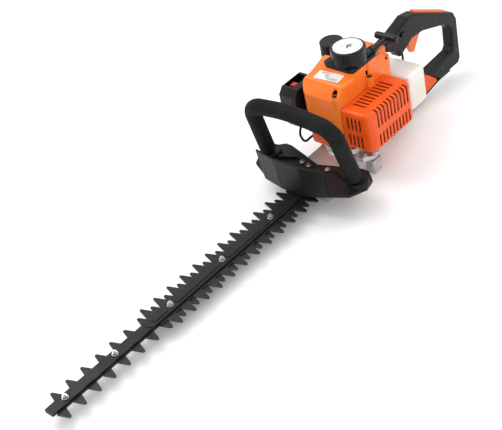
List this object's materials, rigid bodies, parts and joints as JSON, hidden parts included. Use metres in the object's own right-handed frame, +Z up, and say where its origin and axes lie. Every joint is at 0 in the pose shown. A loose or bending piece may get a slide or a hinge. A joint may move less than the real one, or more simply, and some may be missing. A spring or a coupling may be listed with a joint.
{
  "type": "petrol hedge trimmer",
  "caption": "Petrol hedge trimmer with a long double-sided cutter, orange engine covers, a black loop handle and a rear pistol handle.",
  "frame": {"origin": "underside of the gearbox cover, straight below the crankshaft axis", "axes": "+X along the cutter to its tip, +Y towards the muffler side (the operator's left), +Z up along the crankshaft"},
  "size_m": [1.211, 0.268, 0.2504],
  "materials": {
    "blade_steel": "dark satin",
    "bar_steel": "black satin",
    "zinc": "bright zinc",
    "black_screw": "black oxide",
    "casting": "as cast",
    "machined_steel": "machined",
    "iron": "machined",
    "piston_alloy": "machined",
    "black_plastic": "fine grain",
    "orange_plastic": "gloss",
    "orange_trigger": "satin",
    "red_plastic": "gloss",
    "grip_rubber": "foam, matt",
    "soft_rubber": "matt",
    "tank_plastic": "translucent white",
    "badge_white": "gloss",
    "spring_steel": "blued",
    "rope": "braided",
    "muffler_steel": "heat resistant"
  },
  "bodies": {
    "chassis": {"front_spine_bar": "bar_steel", "rear_spine_bar": "bar_steel", "blade_bolts": "zinc", "blade_nuts": "black_screw", "gearbox_housing": "casting", "gearbox_cover": "casting", "gearbox_screws": "zinc", "ball_bearings": "machined_steel", "cylinder": "casting", "spark_plug": "zinc", "plug_cap": "soft_rubber", "crankcase_lower": "casting", "crankcase_upper": "casting", "ignition_coil": "black_plastic", "muffler": "muffler_steel", "engine_cover": "orange_plastic", "cover_screws": "black_screw", "lower_housing": "orange_plastic", "muffler_guard": "orange_plastic", "starter_base": "black_plastic", "starter_cap": "black_plastic", "starter_badge": "badge_white", "recoil_spring": "spring_steel", "carburettor": "casting", "air_filter_box": "black_plastic", "air_filter_cover": "black_plastic", "fuel_tank": "tank_plastic", "guard": "black_plastic", "loop_tube": "bar_steel", "loop_grip": "grip_rubber", "guard_nuts": "zinc", "rear_handle_left": "black_plastic", "rear_handle_right": "black_plastic", "handle_screws": "black_screw", "rear_bracket": "orange_plastic", "support_strap": "bar_steel", "throttle_cable": "soft_rubber"},
    "lower_blade": {"lower_blade": "blade_steel"},
    "upper_blade": {"upper_blade": "blade_steel"},
    "blade_crank": {"eccentric_crank": "machined_steel", "reduction_gear": "machined_steel"},
    "upper_rod": {"upper_rod": "machined_steel"},
    "lower_rod": {"lower_rod": "machined_steel"},
    "clutch_drum": {"clutch_drum": "iron", "drive_pinion": "machined_steel"},
    "engine_shaft": {"crankshaft": "machined_steel", "flywheel": "piston_alloy", "clutch_hub": "machined_steel", "clutch_shoes": "iron"},
    "connecting_rod": {"connecting_rod": "machined_steel"},
    "piston": {"piston": "piston_alloy"},
    "starter_pulley": {"starter_pulley": "black_plastic", "starter_rope": "rope"},
    "starter_grip": {"starter_grip": "black_plastic"},
    "throttle_trigger": {"throttle_trigger": "orange_trigger"},
    "lock_lever": {"lock_lever": "orange_trigger"},
    "choke_lever": {"choke_lever": "red_plastic"},
    "primer_bulb": {"primer_bulb": "soft_rubber"},
    "fuel_cap": {"fuel_cap": "black_plastic"},
    "stop_switch": {"stop_switch": "red_plastic"}
  },
  "joints": [
    {"name": "lower_blade_slide", "type": "slide", "parent": "chassis", "child": "lower_blade", "axis": [1, 0, 0], "range_m": [-0.00875, 0.00875]},
    {"name": "upper_blade_slide", "type": "slide", "parent": "chassis", "child": "upper_blade", "axis": [1, 0, 0], "range_m": [-0.00875, 0.00875]},
    {"name": "crank_spin", "type": "hinge", "parent": "chassis", "child": "blade_crank", "pos_m": [0.0405, 0, 0.045], "axis": [0, 0, 1], "continuous": true},
    {"name": "drum_spin", "type": "hinge", "parent": "chassis", "child": "clutch_drum", "pos_m": [0, 0, 0.045], "axis": [0, 0, 1], "continuous": true},
    {"name": "upper_rod_pivot", "type": "hinge", "parent": "blade_crank", "child": "upper_rod", "pos_m": [0.0405, 0.00875, 0.0365], "axis": [0, 0, 1], "continuous": true},
    {"name": "lower_rod_pivot", "type": "hinge", "parent": "blade_crank", "child": "lower_rod", "pos_m": [0.0405, -0.00875, 0.0175], "axis": [0, 0, 1], "continuous": true},
    {"name": "engine_spin", "type": "hinge", "parent": "chassis", "child": "engine_shaft", "pos_m": [0, 0, 0.119], "axis": [0, 0, 1], "continuous": true},
    {"name": "rod_pivot", "type": "hinge", "parent": "engine_shaft", "child": "connecting_rod", "pos_m": [0.009, 0, 0.119], "axis": [0, 0, 1], "continuous": true},
    {"name": "piston_slide", "type": "slide", "parent": "chassis", "child": "piston", "axis": [1, 0, 0], "range_m": [-0.018, 0]},
    {"name": "starter_pull", "type": "slide", "parent": "chassis", "child": "starter_grip", "axis": [-0.9455, 0, 0.3256], "range_m": [0, 0.6], "stiffness_N_per_m": 12, "springref_m": -0.3},
    {"name": "pulley_spin", "type": "hinge", "parent": "chassis", "child": "starter_pulley", "pos_m": [0, 0, 0.22], "axis": [0, 0, 1], "range_deg": [0, 1900]},
    {"name": "trigger_pull", "type": "hinge", "parent": "chassis", "child": "throttle_trigger", "pos_m": [-0.198, 0, 0.187], "axis": [0, 1, 0], "range_deg": [0, 16], "stiffness_Nm_per_rad": 0.5, "springref_deg": -17.19},
    {"name": "lock_press", "type": "hinge", "parent": "chassis", "child": "lock_lever", "pos_m": [-0.21089, 0, 0.20433], "axis": [0, -1, 0], "range_deg": [0, 2.2], "stiffness_Nm_per_rad": 3, "springref_deg": -5.73},
    {"name": "choke_turn", "type": "hinge", "parent": "chassis", "child": "choke_lever", "pos_m": [0.066, -0.096, 0.154], "axis": [0, 1, 0], "range_deg": [-30, 30]},
    {"name": "primer_press", "type": "slide", "parent": "chassis", "child": "primer_bulb", "axis": [0, 0, 1], "range_m": [0, 0.003], "stiffness_N_per_m": 400, "springref_m": -0.001},
    {"name": "fuel_cap_turn", "type": "hinge", "parent": "chassis", "child": "fuel_cap", "pos_m": [-0.052, -0.088, 0.19], "axis": [0, 0, 1], "range_deg": [0, 540]},
    {"name": "stop_slide", "type": "slide", "parent": "chassis", "child": "stop_switch", "axis": [1, 0, 0], "range_m": [-0.0032, 0.0032]}
  ],
  "couplings": [
    {"joint": "upper_blade_slide", "follows": "lower_blade_slide", "ratio": -1},
    {"joint": "drum_spin", "follows": "crank_spin", "ratio": -4.4},
    {"joint": "upper_rod_pivot", "follows": "crank_spin", "ratio": -1},
    {"joint": "lower_rod_pivot", "follows": "crank_spin", "ratio": -1},
    {"joint": "rod_pivot", "follows": "engine_spin", "ratio": -1},
    {"joint": "pulley_spin", "follows": "starter_pull", "rad_per_m": 54.35}
  ]
}
